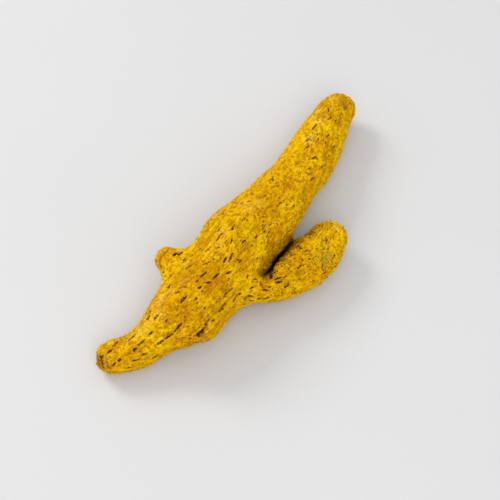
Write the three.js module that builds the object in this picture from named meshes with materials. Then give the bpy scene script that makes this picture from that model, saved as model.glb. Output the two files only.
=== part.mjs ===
// A dried turmeric root: one finger of the rhizome, with a short side finger growing from its
// middle and a bud stub on the other side. It grew as one piece, so it is one solid.
// Units are millimetres, +Z is up and +X runs along the finger, from its scarred end to its
// rounded end. The origin is on the surface that the root lies on, under the middle of its box.
import * as THREE from "three";

// Driving dimensions.
const THICKEST = 13.6; // the finger's width where the side finger leaves it
const ROUNDNESS = 0.94; // height of the round sections over their width
const FLAT_DEPTH = 0.3; // how far the three resting spots are worn flat
const MESH_PITCH = 0.96; // spacing of the skin's faces

// Stations along each limb's core, as [x, y, height, radius as a share of THICKEST / 2].
// The core runs from the centre of one rounded end to the centre of the other.
const MAIN_FINGER = [
  [-34.5, 7.6, 3.3, 0.45],
  [-30.8, 5.2, 3.4, 0.51],
  [-26.3, 3.4, 4.6, 0.62],
  [-21.0, 1.9, 6.4, 0.91],
  [-14.8, 1.7, 7.0, 0.99],
  [-8.0, 2.3, 7.1, 1.0],
  [-1.0, 2.8, 7.0, 0.97],
  [6.0, 2.8, 6.5, 0.85],
  [13.4, 3.6, 5.5, 0.73],
  [19.4, 4.3, 4.9, 0.74],
  [25.1, 5.7, 4.6, 0.7],
  [29.9, 6.7, 4.6, 0.6],
  [33.4, 7.1, 4.8, 0.52],
];
const SIDE_FINGER = [
  [-12.0, 0.6, 5.8, 0.5],
  [-8.6, -4.4, 5.2, 0.53],
  [-5.2, -7.0, 4.7, 0.57],
  [-0.3, -8.3, 4.3, 0.64],
  [3.8, -8.9, 4.0, 0.61],
  [7.7, -8.5, 4.2, 0.53],
];
const BUD_STUB = [
  [-14.8, 3.4, 6.8, 0.6],
  [-15.0, 7.4, 7.6, 0.52],
  [-15.2, 10.2, 8.2, 0.38],
];

// How far the side finger and the bud stub melt into the main finger.
const SIDE_BLEND = 2.9;
const BUD_BLEND = 2.2;

// The cleft's deep crease, from where it opens in the skin to where the fingers part.
const CREASE = [
  [-7.8, -5.4, 9.0],
  [-5.4, -5.0, 8.6],
  [-2.9, -4.6, 8.0],
  [-0.6, -4.3, 7.5],
  [1.6, -4.3, 7.1],
];
const CREASE_DEPTH = 1.4;
const CREASE_HALF_WIDTH = 0.8;

// Low ridges and furrows that run along the main finger: [angle from +Y over the top in
// degrees, half width in degrees, first and last mm along it, height].
const LONG_RIDGES = [
  [84, 20, 1, 36, 0.5],
  [56, 11, 2, 30, -0.28],
  [128, 12, 6, 34, -0.3],
  [148, 14, 10, 30, 0.22],
  [70, 15, 38, 64, 0.22],
  [104, 12, 34, 60, -0.22],
  [200, 16, 8, 40, -0.35],
  [250, 18, 14, 60, 0.25],
  [318, 14, 6, 50, -0.3],
  [345, 16, 30, 62, 0.2],
];
const RIDGE_FADE = 3.5; // each one rises and dies out over twice this

// Leaf-scar rings round the main finger: [mm along it, slant in mm, height].
const SCAR_RINGS = [
  [1.2, 0.5, 0.16],
  [6.6, -0.5, -0.12],
  [15.0, 0.8, -0.14],
  [47.5, -0.7, -0.12],
  [56.0, 0.6, -0.14],
  [62.5, -0.4, -0.1],
];
const RING_HALF_WIDTH = 0.75;

// Local swellings (positive) and dimples (negative): [x, y, z, reach, height].
const SWELLINGS = [
  [-37.2, 9.3, 3.7, 1.5, -0.35],
  [-33.6, 4.6, 5.6, 1.6, 0.25],
  [-21.6, -4.4, 4.2, 2.8, 1.1],
  [-16.2, -4.8, 4.4, 3.4, 0.45],
  [-19.0, 1.6, 13.0, 3.4, -0.3],
  [-3.6, 9.0, 9.2, 2.6, 0.35],
  [0.6, 9.2, 8.6, 1.8, -0.3],
  [8.0, -2.6, 9.4, 3.4, 0.3],
  [16.0, -0.6, 7.2, 2.6, 0.35],
  [29.2, 11.0, 6.2, 1.6, -0.4],
  [34.3, 5.0, 7.0, 1.5, -0.35],
  [5.4, -10.4, 7.4, 1.6, -0.3],
  [8.9, -9.6, 6.0, 1.8, 0.25],
  [-14.6, 13.0, 9.2, 1.5, -0.3],
  [-8.0, 2.6, 0.4, 4.0, -0.4],
];

// The uneven surface everywhere: waves along seeded directions, as [wavelength, height].
const WAVES = [
  [11.0, 0.16],
  [7.5, 0.13],
  [5.2, 0.1],
  [3.9, 0.07],
];
const WAVES_EACH = 4;
const WAVES_ALONG = 0.55; // how much less often they cross the length than the girth
const WAVE_SEED = 20;

const half = THICKEST / 2;
const degrees = Math.PI / 180;

// A smooth bump of height 1 at 0 that dies out over about two half widths.
function bump(offset, halfWidth) {
  return Math.exp(-((offset / halfWidth) ** 2));
}

// Joins two skins, melting them together over about the given reach.
function blend(a, b, reach) {
  const near = Math.max(reach - Math.abs(a - b), 0) / reach;
  return Math.min(a, b) - (near * near * reach) / 4;
}

// A limb: a round form swept along a smooth core, with the thickness of its stations.
class Limb {
  constructor(stations) {
    const samplesEach = 8;
    const count = (stations.length - 1) * samplesEach;
    const core = new THREE.CatmullRomCurve3(
      stations.map(([x, y, z]) => new THREE.Vector3(x, y, z)),
      false,
      "catmullrom",
    );
    const girth = new THREE.CatmullRomCurve3(
      stations.map(([, , , share]) => new THREE.Vector3(share * half, 0, 0)),
      false,
      "catmullrom",
    );
    this.points = [];
    this.radii = [];
    this.along = [];
    for (let i = 0; i <= count; i++) {
      const point = core.getPoint(i / count);
      const before = this.points.at(-1) ?? point;
      this.along.push((this.along.at(-1) ?? 0) + point.distanceTo(before));
      this.points.push(point);
      this.radii.push(girth.getPoint(i / count).x);
    }
  }

  // Where p is on the limb: its distance from the round skin, how far along the core the
  // nearest point is, and the direction from there.
  locate(p) {
    const found = { distance: Infinity, along: 0, out: new THREE.Vector3(), heading: 0 };
    const step = new THREE.Vector3();
    const out = new THREE.Vector3();
    for (let i = 0; i + 1 < this.points.length; i++) {
      step.subVectors(this.points[i + 1], this.points[i]);
      out.subVectors(p, this.points[i]);
      const t = THREE.MathUtils.clamp(out.dot(step) / step.lengthSq(), 0, 1);
      out.addScaledVector(step, -t);
      const radius = THREE.MathUtils.lerp(this.radii[i], this.radii[i + 1], t);
      const distance = Math.hypot(out.x, out.y, out.z / ROUNDNESS) - radius;
      if (distance < found.distance) {
        found.distance = distance;
        found.along = THREE.MathUtils.lerp(this.along[i], this.along[i + 1], t);
        found.out.copy(out);
        found.heading = Math.atan2(step.y, step.x);
      }
    }
    return found;
  }
}

// The ridges, furrows and rings of the main finger at one place on it.
function fingerRelief({ out, along, heading }) {
  const across = out.y * Math.cos(heading) - out.x * Math.sin(heading);
  const endFade = Math.hypot(across, out.z) / Math.max(out.length(), Number.EPSILON);
  const angle = Math.atan2(out.z, across) / degrees;
  let height = 0;
  for (const [centre, halfWidth, first, last, rise] of LONG_RIDGES) {
    const turn = THREE.MathUtils.euclideanModulo(angle - centre + 180, 360) - 180;
    const begun = THREE.MathUtils.smoothstep(along, first - RIDGE_FADE, first + RIDGE_FADE);
    const ended = THREE.MathUtils.smoothstep(along, last - RIDGE_FADE, last + RIDGE_FADE);
    height += rise * begun * (1 - ended) * bump(turn, halfWidth);
  }
  for (const [centre, slant, rise] of SCAR_RINGS) {
    const line = centre + slant * Math.sin(angle * degrees);
    height += rise * bump(along - line, RING_HALF_WIDTH);
  }
  return height * endFade;
}

// Random numbers from 0 to 1, the same on every run.
const DRAW_FACTOR = 16807;
const DRAW_PRIME = 2147483647;
let drawn = WAVE_SEED;
function draw() {
  drawn = (drawn * DRAW_FACTOR) % DRAW_PRIME;
  return drawn / DRAW_PRIME;
}

const waves = WAVES.flatMap(([length, height]) =>
  Array.from({ length: WAVES_EACH }, () => {
    const turn = draw() * Math.PI;
    const lift = (draw() - 0.5) * Math.PI;
    const phase = draw() * 2 * Math.PI;
    const way = new THREE.Vector3(
      WAVES_ALONG * Math.cos(turn) * Math.cos(lift),
      Math.sin(turn) * Math.cos(lift),
      Math.sin(lift),
    );
    return { way: way.multiplyScalar((2 * Math.PI) / length), phase, height };
  }),
);

const mainFinger = new Limb(MAIN_FINGER);
const sideFinger = new Limb(SIDE_FINGER);
const budStub = new Limb(BUD_STUB);

const creaseLine = CREASE.map((place) => new THREE.Vector3(...place));
const nearest = new THREE.Vector3();

// How far p is from the crease's line.
function creaseDistance(p) {
  const distances = creaseLine.slice(1).map((end, i) =>
    new THREE.Line3(creaseLine[i], end).closestPointToPoint(p, true, nearest).distanceTo(p),
  );
  return Math.min(...distances);
}

// The signed distance from p to the root's skin, below zero inside it.
function rootField(p) {
  const main = mainFinger.locate(p);
  const side = sideFinger.locate(p);
  const bud = budStub.locate(p);
  let skin = blend(main.distance - fingerRelief(main), side.distance, SIDE_BLEND);
  skin = blend(skin, bud.distance, BUD_BLEND);
  skin += CREASE_DEPTH * bump(creaseDistance(p), CREASE_HALF_WIDTH);
  for (const [x, y, z, reach, height] of SWELLINGS) {
    skin -= height * bump(Math.hypot(p.x - x, p.y - y, p.z - z), reach);
  }
  for (const { way, phase, height } of waves) {
    skin -= (height / 2) * Math.sin(p.dot(way) + phase);
  }
  return skin;
}

// The corners of a grid cell as steps from its lowest one, and its edges as pairs of corners.
const CELL_CORNERS = [0, 1, 2, 3, 4, 5, 6, 7].map((c) => [c & 1, (c >> 1) & 1, c >> 2]);
const CELL_EDGES = CELL_CORNERS.flatMap((_, a) =>
  [1, 2, 4].filter((bit) => (a & bit) === 0).map((bit) => [a, a | bit]),
);
const GRID_AXES = [
  [1, 0, 0],
  [0, 1, 0],
  [0, 0, 1],
];

// Builds a closed skin of quads where the field is zero: one vertex in each cell that the skin
// crosses, joined across each grid edge that it crosses.
function skinOf(field, box, pitch) {
  const span = box.getSize(new THREE.Vector3()).divideScalar(pitch).ceil().addScalar(1);
  const [nx, ny, nz] = span.toArray();
  const index = (i, j, k) => i + nx * (j + ny * k);
  const corner = (i, j, k) => new THREE.Vector3(i, j, k).multiplyScalar(pitch).add(box.min);
  const values = new Float64Array(nx * ny * nz);
  for (let k = 0; k < nz; k++) {
    for (let j = 0; j < ny; j++) {
      for (let i = 0; i < nx; i++) {
        values[index(i, j, k)] = field(corner(i, j, k));
      }
    }
  }

  const vertices = [];
  const vertexOfCell = new Map();
  const addVertex = (i, j, k) => {
    const crossings = [];
    for (const ends of CELL_EDGES) {
      const [from, to] = ends.map((c) => CELL_CORNERS[c].map((e, n) => e + [i, j, k][n]));
      const [before, after] = [from, to].map((place) => values[index(...place)]);
      if (before < 0 !== after < 0) {
        crossings.push(corner(...from).lerp(corner(...to), before / (before - after)));
      }
    }
    if (crossings.length > 0) {
      const middle = new THREE.Vector3();
      crossings.forEach((crossing) => middle.addScaledVector(crossing, 1 / crossings.length));
      vertexOfCell.set(index(i, j, k), vertices.length);
      vertices.push(middle);
    }
  };

  const quads = [];
  const addQuads = (i, j, k) => {
    const inside = values[index(i, j, k)] < 0;
    GRID_AXES.forEach(([di, dj, dk], n) => {
      if (values[index(i + di, j + dj, k + dk)] < 0 === inside) {
        return;
      }
      const u = GRID_AXES[(n + 1) % 3];
      const v = GRID_AXES[(n + 2) % 3];
      const back = (a, b) =>
        index(i - a * u[0] - b * v[0], j - a * u[1] - b * v[1], k - a * u[2] - b * v[2]);
      const around = [back(0, 0), back(1, 0), back(1, 1), back(0, 1)];
      const quad = around.map((cell) => vertexOfCell.get(cell));
      quads.push(inside ? quad : quad.reverse());
    });
  };

  for (const [first, add] of [
    [0, addVertex],
    [1, addQuads],
  ]) {
    for (let k = first; k + 1 < nz; k++) {
      for (let j = first; j + 1 < ny; j++) {
        for (let i = first; i + 1 < nx; i++) {
          add(i, j, k);
        }
      }
    }
  }
  return { vertices, quads };
}

// Evens out the skin's faces: each vertex moves towards its neighbours, then back to the skin.
function relax({ vertices, quads }, field) {
  const rounds = 4;
  const hold = 0.4; // how much of its old place a vertex keeps
  const pulls = 2;
  const longestPull = 0.5;
  const probeStep = 0.05;
  const neighbours = vertices.map(() => new Set());
  for (const quad of quads) {
    quad.forEach((vertex, n) => {
      const next = quad[(n + 1) % 4];
      neighbours[vertex].add(next);
      neighbours[next].add(vertex);
    });
  }
  const slope = new THREE.Vector3();
  const probe = new THREE.Vector3();
  const pullToSkin = (v) => {
    const value = field(v);
    for (const axis of ["x", "y", "z"]) {
      probe.copy(v);
      probe[axis] += probeStep;
      slope[axis] = (field(probe) - value) / probeStep;
    }
    const pull = THREE.MathUtils.clamp(value / slope.lengthSq(), -longestPull, longestPull);
    v.addScaledVector(slope, -pull);
  };
  for (let round = 0; round < rounds; round++) {
    const moved = vertices.map((v, n) => {
      const middle = new THREE.Vector3();
      neighbours[n].forEach((m) => middle.add(vertices[m]));
      return middle.divideScalar(neighbours[n].size).lerp(v, hold);
    });
    moved.forEach((v, n) => {
      for (let pull = 0; pull < pulls; pull++) {
        pullToSkin(v);
      }
      vertices[n].copy(v);
    });
  }
}

// The box that the limbs fill, with room for their relief.
function limbBox(limbs) {
  const reliefRoom = 2 * MESH_PITCH;
  const box = new THREE.Box3();
  const ball = new THREE.Sphere();
  const ballBox = new THREE.Box3();
  for (const limb of limbs) {
    limb.points.forEach((point, i) => {
      ball.set(point, limb.radii[i]).getBoundingBox(ballBox);
      box.union(ballBox);
    });
  }
  return box.expandByScalar(reliefRoom);
}

// The finished geometry: quads cut along their shorter diagonal, the underside worn flat where
// it is lowest, and the box centred over the origin.
function rootGeometry() {
  const box = limbBox([mainFinger, sideFinger, budStub]);
  const { vertices, quads } = skinOf(rootField, box, MESH_PITCH);
  relax({ vertices, quads }, rootField);
  const indices = [];
  for (const [a, b, c, d] of quads) {
    const acrossAC = vertices[a].distanceTo(vertices[c]);
    const acrossBD = vertices[b].distanceTo(vertices[d]);
    indices.push(...(acrossAC <= acrossBD ? [a, b, c, a, c, d] : [a, b, d, b, c, d]));
  }
  for (const vertex of vertices) {
    vertex.z = Math.max(vertex.z - FLAT_DEPTH, 0);
  }
  const geometry = new THREE.BufferGeometry().setFromPoints(vertices);
  geometry.setIndex(indices);
  geometry.computeBoundingBox();
  const middle = geometry.boundingBox.getCenter(new THREE.Vector3());
  geometry.translate(-middle.x, -middle.y, 0);
  geometry.computeVertexNormals();
  return geometry;
}

const driedSkin = new THREE.MeshStandardMaterial({
  color: 0xd9a514,
  roughness: 0.92,
  metalness: 0,
});

const root = new THREE.Mesh(rootGeometry(), driedSkin);
root.name = "turmeric_root";

const turmeric = new THREE.Group();
turmeric.add(root);

export default turmeric;
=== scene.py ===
# A dried turmeric root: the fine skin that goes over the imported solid, with its pits, wrinkles
# and colours, and the small studio that it lies in. Lengths are in millimetres until a finished
# piece is scaled to the frame's metres.
import math
import random

import bmesh
import bpy
import numpy as np
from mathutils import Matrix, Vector
from mathutils.bvhtree import BVHTree


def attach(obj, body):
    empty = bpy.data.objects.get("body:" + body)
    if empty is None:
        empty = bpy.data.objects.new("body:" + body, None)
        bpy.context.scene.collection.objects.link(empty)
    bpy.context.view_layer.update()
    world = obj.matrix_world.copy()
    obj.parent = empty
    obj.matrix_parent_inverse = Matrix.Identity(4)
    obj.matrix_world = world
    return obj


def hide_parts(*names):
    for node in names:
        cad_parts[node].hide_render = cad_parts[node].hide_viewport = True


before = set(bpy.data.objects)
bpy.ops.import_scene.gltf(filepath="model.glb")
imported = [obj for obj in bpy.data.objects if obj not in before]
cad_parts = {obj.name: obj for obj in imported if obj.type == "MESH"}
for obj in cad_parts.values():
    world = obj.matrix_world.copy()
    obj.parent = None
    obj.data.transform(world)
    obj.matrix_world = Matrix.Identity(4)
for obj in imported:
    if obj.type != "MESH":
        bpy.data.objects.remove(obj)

ROOT_NODE = "turmeric_root"
BODY = "root"
MM = 0.001

# The camera stands where the photograph's did and sees a square frame.
FRAME_PIXELS = 500
LENS = 100.0
SENSOR = 36.0
HEADING = math.radians(36.33)  # the way it looks over the floor, from +X towards +Y
LOOK_DOWN = math.radians(55.0)
AIM = Vector((-3.26, 1.40, 5.0))
MM_PER_PIXEL = 0.179  # at the aim
FOCAL_PIXELS = FRAME_PIXELS * LENS / SENSOR
FORWARD = Vector(
    (
        math.cos(HEADING) * math.cos(LOOK_DOWN),
        math.sin(HEADING) * math.cos(LOOK_DOWN),
        -math.sin(LOOK_DOWN),
    )
)
RIGHT = Vector((math.sin(HEADING), -math.cos(HEADING), 0.0))
UP = RIGHT.cross(FORWARD)
EYE = AIM - FORWARD * MM_PER_PIXEL * FOCAL_PIXELS

# The fine skin's mesh.
MERGE_REACH = 0.001  # closer points of the solid are one
QUAD_ANGLE = math.radians(60)  # how far two triangles may fold and still join in a quad
SMOOTHING_LEVELS = 2
SKIN_PITCH = 0.15
LIP_ROUNDING = 2  # rounds of smoothing, and how far each one goes
LIP_SOFTNESS = 0.5
SKIN_TRIANGLES = 190000

# Stations along each limb's core, as in the solid: [x, y, height, radius as a share of
# THICKEST / 2]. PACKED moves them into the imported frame.
THICKEST = 13.6
PACKED = np.array((0.05, 0.42, -0.30))
SPAN_SAMPLES = 6  # points on each span of a curve or path
SHARE_SOFTNESS = 0.5  # how softly one limb's grain gives way to the next one's
SHARE_DEPTH = 1.0  # how far inside a limb its share still grows
STATIONS = {
    "finger": (
        (-34.5, 7.6, 3.3, 0.45), (-30.8, 5.2, 3.4, 0.51), (-26.3, 3.4, 4.6, 0.62),
        (-21.0, 1.9, 6.4, 0.91), (-14.8, 1.7, 7.0, 0.99), (-8.0, 2.3, 7.1, 1.0),
        (-1.0, 2.8, 7.0, 0.97), (6.0, 2.8, 6.5, 0.85), (13.4, 3.6, 5.5, 0.73),
        (19.4, 4.3, 4.9, 0.74), (25.1, 5.7, 4.6, 0.7), (29.9, 6.7, 4.6, 0.6),
        (33.4, 7.1, 4.8, 0.52),
    ),
    "side": (
        (-12.0, 0.6, 5.8, 0.5), (-8.6, -4.4, 5.2, 0.53), (-5.2, -7.0, 4.7, 0.57),
        (-0.3, -8.3, 4.3, 0.64), (3.8, -8.9, 4.0, 0.61), (7.7, -8.5, 4.2, 0.53),
    ),
    "bud": ((-14.8, 3.4, 6.8, 0.6), (-15.0, 7.4, 7.6, 0.52), (-15.2, 10.2, 8.2, 0.38)),
}

# The dark cleft between the fingers, as pixels of the photograph, each with its width and depth.
CLEFT = (
    (264.3, 274.6, 0.4, 1.2),
    (269.6, 270.6, 0.62, 2.1),
    (275.0, 262.1, 0.8, 2.9),
    (280.6, 255.2, 0.8, 3.2),
    (286.2, 248.6, 0.7, 2.2),
    (290.2, 243.6, 0.6, 1.4),
    (293.2, 239.8, 0.5, 1.0),
)
CLEFT_NEAR = 6.8  # how far from its line its walls are looked for
CLEFT_RISE = 1.6  # how far the cutting blade stands out of the skin
BLADE_FLARE = 1.1  # its width at the top and at the bottom, as shares of that at the skin
BLADE_TAPER = 0.35
PARTING = (2.0, 0.4, 1.0)  # how far the blade runs on where the fingers part, its width and depth
CLEFT_SIDES = (0.5, 2.2)  # how far from its line its sides stay ragged and stained, the stain partly painted shade
CLEFT_SHADE = (0.1, 0.6)  # how far under the smooth skin its walls start and end to darken

# Pits and cracks that show in the photograph: the ends of each in its pixels.
SHOULDER_DASHES = (
    (106.7, 352.7, 111.6, 347.3), (111.6, 344.6, 117.5, 339.7), (126.7, 339.2, 131.6, 335.4),
    (132.2, 334.9, 135.4, 331.6), (137, 328.9, 141.9, 323.5), (145.7, 319.1, 149, 314.8),
    (147.9, 312.6, 150, 309.9), (153.8, 319.1, 157.1, 314.8), (132.7, 351.1, 136, 348.4),
    (138.1, 345.2, 143, 342.4), (157.1, 344.6, 162, 341.4), (164.1, 339.7, 171.7, 334.3),
    (173.4, 332.2, 180.9, 323.5),
)
LOWER_DASHES = (
    (149.5, 334.3, 151.7, 332.2), (180.9, 301.8, 186.4, 295.3), (194.5, 300.7, 197.2, 297.5),
    (224.9, 296.4, 229.2, 292), (229.7, 292, 233.5, 288.2), (234.6, 302.9, 238.9, 295.3),
    (238.9, 295.3, 242.2, 293.1), (212.9, 278.5, 220, 272.5), (200.5, 275.8, 205.9, 271.4),
    (202.1, 263.9, 210.2, 261.1), (185.8, 267.1, 194.5, 260.1), (182, 259, 184.7, 258.4),
    (207.5, 282.8, 210.8, 281.2), (198.3, 287.7, 202.1, 286.6), (173.9, 292, 178.2, 291),
    (183.1, 347.3, 187.4, 345.7), (180.4, 339.7, 184.7, 338.7), (206.4, 326.7, 208.6, 325.1),
    (212.4, 321.9, 215.6, 320.8), (221.1, 311.6, 224.3, 309.4), (224.9, 306.7, 227, 304.5),
    (234.1, 309.9, 236.2, 307.2), (160.9, 285.5, 162.5, 282.8), (167.4, 286.6, 169, 283.4),
    (247.6, 278, 248.7, 274.7), (248.2, 297.4, 253.6, 297.4), (241.1, 305, 246.4, 301.9),
)
TIP_DASHES = (
    (112.1, 366.3, 115.9, 363), (118.1, 361.4, 121.3, 359.3), (141.4, 355.5, 147.3, 353.8),
    (126.2, 369, 132.7, 368.5), (153.3, 359.3, 157.1, 357.6), (109.5, 356.5, 110.3, 356.2),
    (98.6, 356, 101.3, 359.3),
)
SIDE_DASHES = (
    (265.2, 299.2, 271.4, 298.3), (275.9, 279.1, 282.1, 276), (294.6, 244.3, 301.8, 246),
    (324.1, 263.9, 324.6, 271.1), (281.4, 265.7, 282, 265.5), (303.7, 264.8, 304.3, 264.7),
    (307.7, 266.2, 308.3, 266.1), (279.2, 297, 279.8, 296.8), (289, 283.6, 289.6, 283.4),
)
UPPER_DASHES = (
    (231.7, 229.1, 234.4, 225.1), (255.4, 238, 258, 234.9), (243.3, 242.1, 246, 239.4),
    (244.3, 217.3, 244.9, 217.1), (247.5, 219.5, 248.1, 219.3), (277.7, 222.9, 279, 225.5),
    (295.5, 218.9, 298.2, 214.5), (289.7, 232.7, 291.5, 230.4), (263.1, 228.2, 263.7, 228),
    (258.6, 258.1, 259.2, 257.9), (254.2, 264.8, 254.8, 264.6), (252.4, 281.8, 253, 281.6),
    (311.2, 129.6, 317, 123.4), (305.4, 141.3, 309.4, 137.7), (305.8, 146.6, 309.8, 144.8),
    (323, 134.1, 323.4, 134), (318.1, 133.7, 318.5, 133.6), (299.8, 136.8, 300.2, 136.7),
    (310.5, 136.3, 310.9, 136.2), (317, 156.4, 317.9, 159.1), (308, 168.9, 311.6, 166.3),
    (309.6, 173, 310, 172.8), (310.7, 180.5, 316.5, 177), (272.3, 177, 273.2, 181),
    (285.4, 175.6, 286, 175.4), (279.6, 196.6, 280.2, 196.4), (290.3, 200.6, 290.9, 200.4),
    (279.5, 202.9, 282.1, 201.1), (286.7, 204.2, 287.3, 204), (248.4, 200.6, 249, 200.4),
    (260.4, 204.6, 261, 204.4), (232.1, 201.1, 235.7, 201.1), (328.1, 106.4, 329, 110),
    (327.7, 135.9, 329.9, 133.2), (328.2, 135.4, 329.4, 134), (304, 189.5, 304.5, 192.6),
)
BELLY_DASHES = (
    (204.5, 251.5, 208.5, 248.4), (216.5, 239.5, 219.2, 235.4), (227.2, 273.4, 231.3, 271.2),
    (217.1, 230.3, 220.3, 225.8), (217.8, 236, 222.9, 231.5), (205.1, 250.7, 207.8, 249.2),
    (184.4, 247.2, 187.9, 246.1), (231.3, 242.6, 233, 237.2), (294.9, 204.1, 294.6, 207.3),
)
# A deep crack along the main finger's lower edge; its near-black is painted shadow.
DARK_CRACKS = (
    (191.6, 340, 195.2, 337.4), (195.2, 337.4, 199.8, 337.6), (198.6, 335.4, 203.2, 333.4),
    (203.2, 333.4, 207, 329.4),
)
BUD_CRACKS = (
    (173.3, 254.8, 176.2, 250.8), (176.2, 250.8, 178.4, 253), (178.4, 253, 181.6, 250.6),
    (269.6, 271, 271, 276.4),
)
# Cracks in the scar, and a dark line down its hollow that is painted shade.
SCAR_CRACKS_AND_HOLLOW_SHADE = (
    (98.3, 356, 100.4, 358), (102.2, 355.3, 100.4, 358), (100.4, 358, 100.8, 361.4),
    (100.8, 361.4, 101.4, 366), (101.4, 366, 102.9, 369.6), (99.3, 363.8, 101.4, 366),
)
FAINT_FURROWS = (
    (260.7, 281.8, 263.4, 288), (106, 359.5, 106.8, 365.6), (106.8, 365.6, 109.4, 370.2),
    (161, 269.4, 158.8, 261.8), (158.8, 261.8, 161.5, 255.7), (161.5, 255.7, 165.3, 251.5),
    (165.3, 251.5, 169.1, 248.4), (177.7, 286.9, 182.8, 285.2), (182.8, 285.2, 186.8, 286.9),
)
DARK_SPECKS = (
    (169.1, 248.4), (187.1, 249.7), (162.2, 272.1), (164.4, 276), (169.3, 274.6), (197, 280.3),
    (202.7, 290.5), (221, 298.5), (204.9, 308.4), (185.3, 317.6), (165.4, 321.1), (213.4, 329.3),
    (197.6, 302.8), (221, 312.4), (210.3, 246.2), (218.8, 247.1), (216.1, 252.4), (224.6, 253.3),
    (213.8, 258.4), (239.3, 259.3), (258.5, 258), (265.4, 269.4), (225, 242.4), (252.7, 244.8),
    (206.7, 282.3), (264.3, 220.7), (263.7, 225.2), (264.6, 231.2), (270.1, 231.5), (299.4, 219.4),
    (218.1, 217.8), (252.2, 192.3), (281.1, 242.1), (262.2, 242.6), (270.3, 242.6), (274.6, 272.5),
    (277.3, 270.8), (281.7, 265.4), (284.9, 262.7), (294.7, 256.7), (302.8, 258.9), (297.4, 252.9),
    (286.6, 275.2), (279.5, 281.7), (276.8, 282.2), (269.8, 287.6), (319.6, 235.6), (327.2, 238.8),
    (322.9, 238.3), (310.4, 257.8), (344.7, 108.9), (346.8, 106.1), (318.6, 138.2), (326.1, 141.7),
    (288.8, 158.3), (323.2, 166.3), (336.4, 119.9), (264.9, 274.1), (265, 231.3), (289.3, 252.9),
    (301.7, 245.9), (297.9, 244.3), (300.1, 279.5), (94.9, 361.8),
)
FAINT_SPECKS = (
    (176.8, 257.2), (170.7, 261), (173, 260.6), (192.1, 253.8), (190, 259.1), (169.9, 268.3),
    (174.1, 276), (199.5, 237.7), (203.8, 242.4), (199.4, 247.6), (123.2, 349.2), (118.6, 347.2),
    (129.3, 344.6), (142.7, 354.5), (114, 338.2), (140.4, 351.5), (145, 353.5), (178.7, 291.5),
    (194.2, 282.3), (194.5, 300.7), (217.4, 301.7), (192.4, 309.9), (187.9, 313), (178.4, 305.8),
    (209.3, 315.5), (211.8, 310.9), (205.7, 320.6), (193.5, 327.8), (160.3, 328.3), (214.3, 243),
    (242.9, 247.1), (216.7, 248.4), (228.1, 250.6), (231.9, 254.2), (210.7, 256.4), (224.6, 264.9),
    (219.2, 266.3), (243.8, 268.9), (236.6, 272.1), (255.8, 277.9), (229.5, 278.8), (219.2, 269.4),
    (262.1, 243), (266.5, 248.8), (235.6, 204.7), (233.7, 206.7), (241.4, 202.2), (257.9, 208.6),
    (242.3, 219.4), (254.7, 214.9), (259.5, 214.9), (282.5, 223.2), (272.9, 209.8), (272.6, 213.4),
    (277.1, 211.8), (266.9, 213), (299.1, 204.7), (295.6, 227.1), (293.6, 226.4), (282.8, 236.3),
    (266.9, 236.6), (296.2, 174.8), (299.4, 172.9), (300.3, 175.4), (288.9, 158.2), (293, 156.6),
    (294.9, 179.9), (279, 185.3), (276.4, 182.4), (266.2, 194.5), (267.2, 197.7), (264.3, 220.4),
    (269.8, 231.8), (294.7, 227.5), (274.6, 238.8), (289.3, 267.6), (283.3, 293.6), (297.4, 294.1),
    (310.9, 252.9), (313.1, 247.5), (282.8, 279.5), (331, 230.2), (337, 230.7), (340.2, 237.8),
    (324, 248.1), (328.8, 248.1), (335.3, 247), (339.9, 107.8), (334.1, 99.5), (317.5, 119.9),
    (337.6, 133.6), (337, 137.6), (307.1, 134.8), (304.6, 152.9), (304.6, 156.6), (292.8, 156),
    (282.5, 164.1), (325.5, 147.4), (314.6, 161.8), (326.7, 164.6), (299.1, 172.7), (332.4, 119.9),
    (338.7, 129.6), (310.1, 151), (292.4, 164.8), (321.5, 223.6), (296, 289.3), (288.6, 269.3),
)

# Each family of marks: its segments, half width and depth.
MARK_FAMILIES = (
    (SHOULDER_DASHES, 0.2, 0.46), (LOWER_DASHES, 0.18, 0.47), (TIP_DASHES, 0.18, 0.4),
    (SIDE_DASHES, 0.19, 0.36), (UPPER_DASHES, 0.17, 0.34), (BELLY_DASHES, 0.18, 0.34),
    (DARK_CRACKS, 0.55, 1.1), (BUD_CRACKS, 0.32, 0.66), (SCAR_CRACKS_AND_HOLLOW_SHADE, 0.2, 0.3),
    (FAINT_FURROWS, 0.26, 0.17),
)
SPECK_FAMILIES = ((DARK_SPECKS, 0.16, 0.32), (FAINT_SPECKS, 0.17, 0.16))
SPECK_SPAN = (0.5, 1.6)  # how many pixels a speck runs to the right, and as many up
MARK_STEP = 0.12
MARK_WOBBLE = 0.05
MARK_SEED = 41
MARK_SIZES = (0.9, 1.15)  # as shares of its family's
MARK_LEAST = 0.55  # a mark's size at its ends, to which the swell is added in its middle
MARK_SWELL = 0.45
MARK_BLUNT = (0.12, 0.88)  # between which shares of its length it swells
FACING_LIMIT = 0.15  # the least cosine towards the camera of skin that it sees

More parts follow.
